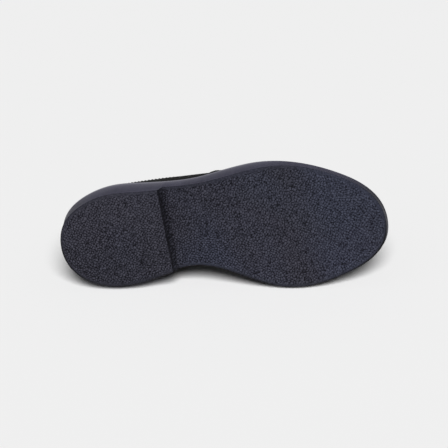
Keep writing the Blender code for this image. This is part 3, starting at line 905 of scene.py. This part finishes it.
def build_saddle(skins):
    """Plain strap over the instep, with soft cut edges."""
    across = closed_in(26, 32.0)
    share, on_outer = over_instep(np.linspace(0, 1, 64))
    angle = 0.013 + (math.pi / 2 - 0.013) * share[:, None]
    back, front = columns(SADDLE, angle / (math.pi / 2))
    loops = FOOT.loop_of(back + (front - back) * across, on_outer[:, None])
    edge = np.minimum(across, 1 - across) * (front - back)
    face = SADDLE_GAP + rounded(edge, saddle_thickness(angle))
    add_layer("saddle", skins, loops, angle, (face, SADDLE_GAP))


def angle_at_width(loop, width):
    """Angle of a section at a distance from the ridge, measured level across the foot."""
    foot, _, crest, side, _, _, _ = section(loop)
    reach = np.linalg.norm((foot - crest)[..., :2], axis=-1)
    return np.arccos(np.clip(width / reach, 0, 1) ** (side / 2))


def tongue_place(share, across):
    """Loop, angle, drop and half width at a place on the tongue."""
    x, drop, half_width = columns(TONGUE, share)
    x = x + 9.0 * np.abs(across) ** 3 * (1 - share) ** 2
    angle = angle_at_width(FOOT.share_of(x), np.abs(across) * half_width)
    return FOOT.loop_of(x, across < 0), angle, drop, half_width


def build_tongue(skins):
    """Tongue that comes out from under the saddle, with a rounded free end."""
    share = np.concatenate([[0, 0.004, 0.011, 0.022, 0.036], np.linspace(0.055, 1, 41)])
    share, across = np.meshgrid(share, 2 * closed_in(41, 36.0) - 1)
    loops, angles, drop, half_width = tongue_place(share, across)
    edge = np.minimum((1 - np.abs(across)) * half_width, share * TONGUE_LENGTH)
    back = -drop - TONGUE_THICK
    heights = back + rounded(edge, TONGUE_THICK), back
    add_layer("tongue", skins, loops, angles, heights, flip=False)


def backstay_place(share, across):
    """Loop and angle of a place on the strip over the back seam, and its half width there."""
    per_mm = 0.002 / np.linalg.norm(FOOT.at(0.002) - FOOT.at(0.0))
    half_width = BACKSTAY_WIDTH / 2 * (1 - 0.25 * share)
    loops = across * half_width * per_mm
    return loops, topline_angle(loops) * (0.02 + 0.975 * share), half_width


def build_backstay(skins):
    """Narrow strip that covers the back seam."""
    across = 2 * closed_in(21, 14.0) - 1
    up, across = np.meshgrid(np.linspace(0, 1, 46), across, indexing="ij")
    loops, angles, half_width = backstay_place(up, across)
    face = BACKSTAY_GAP + rounded((1 - np.abs(across)) * half_width, BACKSTAY_THICK)
    add_layer("backstay", skins, loops, angles, (face, BACKSTAY_GAP))


def build_insole(skin):
    """Lined footbed on the sole, inside the upper."""
    share = even_shares(FOOT, 110)
    loop = whole_loop(share)
    foot = FOOT.at(loop)
    edge = foot - FOOT.normal_at(loop) * (WALL + 2 * GAP)
    spine = middle_line(slanted(foot))
    low, high = GAP, GAP + INSOLE_THICK
    places = [(0.5, low), (1.0, low), (1.0, high - 1.0)]
    for turn in np.radians([30, 60, 90]):
        places.append((0.97 + 0.03 * math.cos(turn), high - 1.0 + math.sin(turn)))
    places += [(step, high) for step in (0.9, 0.78, 0.62, 0.44, 0.24)]
    line = middle_line(slanted(FOOT.at(share)))
    rings = [on_sole(spine, edge, *place) for place in places]
    points, faces, _ = loft(on_sole(line, line, 0, low), rings, on_sole(line, line, 0, high))
    add_piece("insole_leather", points, faces, [skin], "lining_leather", ["insole"])


# ---- Trim ----


def tube_faces(rings, sides):
    """Faces of a tube of rings with the same number of points, closed at both ends."""
    k = np.arange(sides)
    n = (k + 1) % sides
    faces = [list(range(sides))[::-1], list(range((rings - 1) * sides, rings * sides))]
    for at in range(0, (rings - 1) * sides, sides):
        faces += np.stack([at + k, at + n, at + sides + n, at + sides + k], 1).tolist()
    return faces


def thread(points, up, radius, sides=6):
    """One stitch: a short rounded thread along a few points."""
    side = unit(np.cross(unit(np.gradient(points, axis=0)), up))
    turn = np.linspace(0, 2 * math.pi, sides, endpoint=False)[:, None]
    share = np.linspace(-1, 1, len(points))
    girth = (radius * np.clip(1 - share**4, 0.12, 1) ** 0.5)[:, None, None]
    side, up = side[:, None] * np.cos(turn), up[:, None] * np.sin(turn) * 0.8
    rings = points[:, None] + (side + up) * girth
    return rings.reshape(-1, 3), tube_faces(len(points), sides)


def joined(parts):
    """Several small meshes as one."""
    points, faces, start = [], [], 0
    for some, their_faces in parts:
        points.append(some)
        faces += [tuple(i + start for i in face) for face in their_faces]
        start += len(some)
    return np.concatenate(points), faces


def sewn(lines):
    """A row of stitches along each line of points and their normals."""
    parts = []
    bow = THREAD * np.array([-0.8, 0.2, 0.5, 0.5, 0.2, -0.8])[:, None]
    for points, up in lines:
        run = run_along(points)
        spare = run[-1] / STITCH_PITCH % 1
        for start in (np.arange(int(run[-1] / STITCH_PITCH)) + spare / 2) * STITCH_PITCH:
            at = start + STITCH_PITCH * np.linspace(0.12, 0.88, len(bow))
            place, out = (
                np.stack([np.interp(at, run, c) for c in line.T], 1) for line in (points, up)
            )
            parts.append(thread(place + unit(out) * bow, unit(out), THREAD))
    return joined(parts)


def on_leather(loop, angle, offset):
    """Points at an offset from the last, and the direction out of the leather there."""
    loop, angle = np.broadcast_arrays(loop, angle)
    return leather(loop, angle, offset), face_direction(loop, angle)


def collar_loops():
    """Loop values around the collar, from under the saddle on the inner side round the heel."""
    end = float(FOOT.share_of(THROAT - 3))
    return np.linspace(end, -end, 420)


def build_binding(skin):
    """Leather binding folded over the edge of the collar."""
    loop = collar_loops()
    line = topline_angle(loop)
    rate = per_radian(loop, line)
    top, out = on_leather(loop, line, 0.0)
    down = unit(on_last(loop, line - 0.01) - top)
    half = WALL / 2 + BINDING_THICK
    legs = [(BINDING_DEPTH, 0.1), (BINDING_DEPTH - 0.25, BINDING_THICK)]
    legs += [(drop, BINDING_THICK) for drop in (BINDING_DEPTH * 0.6, 1.2, 0.0)]
    profile = [leather(loop, line - drop / rate, height) for drop, height in legs]
    middle = top - out * WALL / 2
    for turn in np.radians([20, 45, 70, 90, 110, 135, 160]):
        profile.append(middle + (out * math.cos(turn) - down * math.sin(turn)) * half)
    profile += [leather(loop, line - drop / rate, -WALL - height) for drop, height in legs[::-1]]
    points, faces = np.stack(profile, 1), tube_faces(len(loop), len(profile))
    add_piece("collar_binding", points.reshape(-1, 3), faces, [skin], "black_leather")


def build_stitches(skin):
    """Sewn rows on the collar, the saddle, the tongue and the backstay."""
    rows = {}
    loop = collar_loops()
    loop = loop[section(loop)[-1] < 134]
    line = topline_angle(loop)
    line -= (BINDING_DEPTH - BINDING_HEM) / per_radian(loop, line)
    rows["collar"] = [on_leather(loop, line, BINDING_THICK + 0.1)]

    share, on_outer = over_instep(np.linspace(0.03, 1, 60))
    angle = math.pi / 2 * share
    back, front = columns(SADDLE, share)
    edges, face = (back + SADDLE_HEM, front - SADDLE_HEM), SADDLE_GAP + saddle_thickness(angle)
    rows["saddle"] = [on_leather(FOOT.loop_of(x, on_outer), angle, face) for x in edges]

    side, end = np.linspace(0.62, 0.075, 30), np.linspace(-0.87, 0.87, 40)
    share = np.concatenate([side, np.full(len(end), 0.06), side[::-1]])
    across = np.pad(end, len(side), "edge")
    loops, angles, drop, _ = tongue_place(share, across)
    rows["tongue"] = [on_leather(loops, angles, -drop)]

    rows["backstay"] = []
    for edge in (-1, 1):
        loops, angles, half_width = backstay_place(np.linspace(0.03, 0.9, 40), edge)
        loops *= 1 - BACKSTAY_HEM / half_width
        rows["backstay"].append(on_leather(loops, angles, BACKSTAY_GAP + BACKSTAY_THICK))
    for name, lines in rows.items():
        add_piece(f"{name}_stitches", *sewn(lines), [skin], "black_leather")


def build_moc_stitches(skin):
    """Hand-sewn stitches that wrap the apron seam's ridge."""
    fine = np.linspace(0.3, 1.7, 1401)
    fine = fine[section(fine)[-1] > SEAM_START + 8]
    run = seam_run(fine)
    beside = np.linspace(-2.3, 2.3, 11)
    parts = []
    for number in range(math.ceil(run[0] / MOC_PITCH), math.floor(run[-1] / MOC_PITCH) + 1):
        loop = np.interp(number * MOC_PITCH + beside * 0.25, run, fine)
        line = topline_angle(loop)
        lift = seam_relief(loop, section(loop)[-1], beside)
        lift += MOC_THREAD * (0.35 - 1.2 * (beside / beside[-1]) ** 6)
        points, up = on_leather(loop, line + beside / per_radian(loop, line), lift)
        parts.append(thread(points, up, MOC_THREAD, 7))
    add_piece("seam_stitches", *joined(parts), [skin], "black_leather")


# ---- Materials ----


class Skin:
    """A material with a Principled shader, and short ways to add and join nodes."""

    def __init__(self, name, roughness, **sockets):
        self.made = bpy.data.materials.new(name)
        self.made.use_nodes = True
        self.tree = self.made.node_tree
        self.shader = self.tree.nodes["Principled BSDF"]
        self.shader.inputs["Roughness"].default_value = roughness
        for socket, value in sockets.items():
            self.shader.inputs[socket.replace("_", " ")].default_value = value
        self.where = self.add("ShaderNodeTexCoord", "Object")

    def add(self, kind, output, inputs=(), **settings):
        """An output of a new node, whose inputs are values or other outputs."""
        node = self.tree.nodes.new(kind)
        for key, value in settings.items():
            setattr(node, key, value)
        for socket, value in dict(inputs).items():
            if isinstance(value, bpy.types.NodeSocket):
                self.tree.links.new(value, node.inputs[socket])
            else:
                node.inputs[socket].default_value = value
        return node.outputs[output]

    def noise(self, size, detail=2.0, rough=0.5):
        """Noise with features of about a size in millimetres."""
        inputs = {"Scale": 1 / (size * MM), "Detail": detail, "Roughness": rough}
        return self.add("ShaderNodeTexNoise", "Fac", inputs | {"Vector": self.where})

    def cells(self, size):
        """Distance to the edges of random cells of a size in millimetres."""
        inputs = {"Scale": 1 / (size * MM), "Vector": self.where}
        return self.add("ShaderNodeTexVoronoi", "Distance", inputs, feature="DISTANCE_TO_EDGE")

    def attribute(self, name):
        return self.add("ShaderNodeAttribute", "Fac", attribute_name=name)

    def maths(self, operation, a, b):
        return self.add("ShaderNodeMath", "Value", {0: a, 1: b}, operation=operation)

    def spread(self, value, low, high, to_low=0.0, to_high=1.0):
        """A value's range mapped smoothly to another range."""
        inputs = dict(enumerate((value, low, high, to_low, to_high)))
        return self.add("ShaderNodeMapRange", "Result", inputs, interpolation_type="SMOOTHSTEP")

    def ramp(self, value, *stops):
        """Colours at places along a value from 0 to 1."""
        colour = self.add("ShaderNodeValToRGB", "Color", {"Fac": value})
        elements = colour.node.color_ramp.elements
        while len(elements) < len(stops):
            elements.new(1.0)
        for element, (at, shade) in zip(elements, stops):
            element.position, element.color = at, (*shade, 1.0)
        return colour

    def mix(self, share, a, b, blend_type="MIX"):
        """Two colours mixed: the node's sockets 6, 7 and 2 are the ones for colours."""
        b = b if isinstance(b, bpy.types.NodeSocket) else (*b, 1.0)
        inputs = {"Factor": share, 6: a, 7: b}
        return self.add("ShaderNodeMix", 2, inputs, data_type="RGBA", blend_type=blend_type)

    def bumps(self, *layers):
        """Bumps one over another, each from heights and a depth in millimetres."""
        below = {}
        for height, depth in layers:
            inputs = {"Height": height, "Distance": depth * MM, "Strength": 1.0}
            below = {"Normal": self.add("ShaderNodeBump", "Normal", inputs | below)}
        return below["Normal"]

    def finish(self, colour, normal, rough=None):
        for socket, value in (("Base Color", colour), ("Normal", normal), ("Roughness", rough)):
            if value is not None:
                self.tree.links.new(value, self.shader.inputs[socket])
        return self.made


def tread_rubber():
    skin = Skin("tread_rubber", 0.8, Specular_IOR_Level=0.12)
    # The grain attribute holds painted shade in the pebbles' crevices, over the heel breast and on
    # the heel's inner side, and painted light on the heel's outer side.
    grain, pebbled = skin.attribute("grain"), skin.attribute("pebbled")
    speck = skin.noise(1.1, 2.0, 0.65)
    swing = skin.spread(speck, 0.3, 0.7, -0.36, 0.36)
    swing = skin.maths("MULTIPLY", swing, skin.spread(pebbled, 0, 1, 0.6, 1))
    tone = skin.maths("ADD", grain, swing)
    dark, middle, light = (0.0016, 0.0016, 0.003), (0.016, 0.0158, 0.023), (0.037, 0.0366, 0.049)
    colour = skin.ramp(tone, (0.0, dark), (0.5, middle), (1.0, light))
    blue = skin.spread(skin.attribute("blue"), -0.6, 1.2)
    colour = skin.mix(blue, colour, (1.06, 1.18, 1.33), "MULTIPLY")
    # Painted shade on the inner side of the tread's rounded edge, which faces the floor.
    colour = skin.mix(skin.attribute("painted_shade"), colour, (0.004, 0.004, 0.005))
    normal = skin.bumps((speck, 0.12), (skin.noise(0.35, 2.0), 0.03))
    return skin.finish(colour, normal, skin.spread(tone, 0.0, 1.0, 0.9, 0.68))


def wall_rubber():
    skin = Skin("wall_rubber", 0.6, Specular_IOR_Level=0.4)
    broad = skin.noise(22.0, 3.0)
    fine = skin.noise(0.6, 3.0, 0.6)
    colour = skin.ramp(broad, (0.3, (0.0292, 0.0286, 0.045)), (0.7, (0.0382, 0.0373, 0.0585)))
    streak = skin.spread(skin.attribute("streak"), -2.0, 2.0, 0.93, 1.07)
    colour = skin.mix(1.0, colour, streak, "MULTIPLY")
    # Painted highlight towards the lip of the side wall.
    colour = skin.mix(skin.attribute("pale"), colour, (0.145, 0.142, 0.170))
    # Painted shade on the inner side's low wall and on the wall round the toe.
    colour = skin.mix(skin.attribute("painted_shade"), colour, (0.005, 0.005, 0.006))
    rough = skin.spread(fine, 0.3, 0.7, 0.55, 0.68)
    return skin.finish(colour, skin.bumps((fine, 0.035)), rough)


def black_leather():
    skin = Skin("black_calf", 0.6, Specular_IOR_Level=0.3)
    grain = skin.cells(1.1)
    pores = skin.noise(0.5, 3.0, 0.6)
    broad = skin.noise(26.0, 3.0)
    colour = skin.ramp(broad, (0.3, (0.0045, 0.0045, 0.0049)), (0.7, (0.008, 0.008, 0.0087)))
    normal = skin.bumps((skin.spread(grain, 0.0, 0.25), 0.045), (pores, 0.03))
    rough = skin.spread(skin.maths("ADD", broad, pores), 0.7, 1.3, 0.44, 0.58)
    dull_and_painted_shade = skin.attribute("dull_and_painted_shade")
    # Painted shade: darker colour on the outer quarter beside the sole's waist.
    colour = skin.mix(dull_and_painted_shade, colour, (0.0025, 0.0025, 0.0028))
    rough = skin.maths("ADD", rough, skin.maths("MULTIPLY", dull_and_painted_shade, 0.5))
    return skin.finish(colour, normal, rough)


def lining_leather():
    skin = Skin("lining_calf", 0.6, Specular_IOR_Level=0.35)
    broad = skin.noise(18.0, 4.0, 0.6)
    grain = skin.cells(0.8)
    fine = skin.noise(0.4, 3.0, 0.6)
    tone = skin.maths("ADD", skin.maths("MULTIPLY", broad, 0.7), skin.maths("MULTIPLY", fine, 0.3))
    dark, middle, light = (0.27, 0.18, 0.11), (0.36, 0.255, 0.165), (0.45, 0.33, 0.22)
    colour = skin.ramp(tone, (0.3, dark), (0.5, middle), (0.72, light))
    normal = skin.bumps((skin.spread(grain, 0.0, 0.3), 0.03), (fine, 0.03))
    return skin.finish(colour, normal, skin.spread(broad, 0.3, 0.7, 0.52, 0.68))


def sewing_thread():
    skin = Skin("waxed_thread", 0.55, Specular_IOR_Level=0.4)
    fine = skin.noise(0.25, 2.0)
    colour = skin.ramp(fine, (0.3, (0.014, 0.014, 0.015)), (0.7, (0.03, 0.03, 0.032)))
    return skin.finish(colour, skin.bumps((fine, 0.05)))


# ---- Stage ----


def build_stage():
    """Pale floor under an even pale surround."""
    floor = bpy.data.meshes.new("floor")
    s = 6.0
    floor.from_pydata([(-s, -s, 0), (s, -s, 0), (s, s, 0), (-s, s, 0)], [], [(0, 1, 2, 3)])
    floor = new_object("floor", floor)
    skin = Skin("pale_floor", 0.9, Specular_IOR_Level=0.1, Base_Color=(0.84, 0.84, 0.84, 1))
    floor.data.materials.append(skin.made)

    world = bpy.data.worlds.new("surround")
    bpy.context.scene.world = world
    world.use_nodes = True
    background = world.node_tree.nodes["Background"].inputs
    background["Color"].default_value = (1, 1, 1, 1)
    background["Strength"].default_value = WORLD_LIGHT


def build_lights(pieces):
    """One soft light from the front, and a weak matt fill from behind for the shoe alone."""
    shoe = bpy.data.collections.new("shoe")
    for piece in pieces:
        shoe.objects.link(piece)
    for name, strength, angle, turn, shoe_alone in LIGHTS:
        lamp = bpy.data.lights.new(name, "SUN")
        lamp.energy, lamp.angle = strength, math.radians(angle)
        light = new_object(name, lamp)
        light.rotation_euler = np.radians(turn)
        if shoe_alone:
            light.visible_glossy = False
            light.light_linking.receiver_collection = shoe


def build_camera():
    """Camera that looks at the sole as it lies, a little from above and from the toe."""
    back, right = unit([CAMERA_BACK, CAMERA_RIGHT])
    place = lie(np.array(CAMERA_TARGET) + back * CAMERA_DISTANCE) + REST
    level = LIE @ Matrix(np.column_stack([right, np.cross(back, right), back]).tolist())
    turn = level @ Matrix.Rotation(CAMERA_ROLL, 3, "Z")
    camera = new_object("camera", bpy.data.cameras.new("camera"))
    camera.matrix_world = Matrix.Translation(Vector(place)) @ turn.to_4x4()
    camera.data.lens, camera.data.sensor_width = CAMERA_LENS, 36.0
    camera.data.clip_end = 20.0
    bpy.context.scene.camera = camera


def main():
    bpy.context.scene.view_settings.view_transform = "Standard"
    build_stage()
    build_camera()
    skins = [black_leather(), lining_leather()]
    build_sole(tread_rubber(), wall_rubber())
    for build in (build_upper, build_saddle, build_tongue, build_backstay):
        build(skins)
    build_insole(skins[1])
    build_binding(skins[0])
    sewing = sewing_thread()
    build_stitches(sewing)
    build_moc_stitches(sewing)
    build_lights([o for o in bpy.data.objects if o.type == "MESH" and o.name != "floor"])


main()
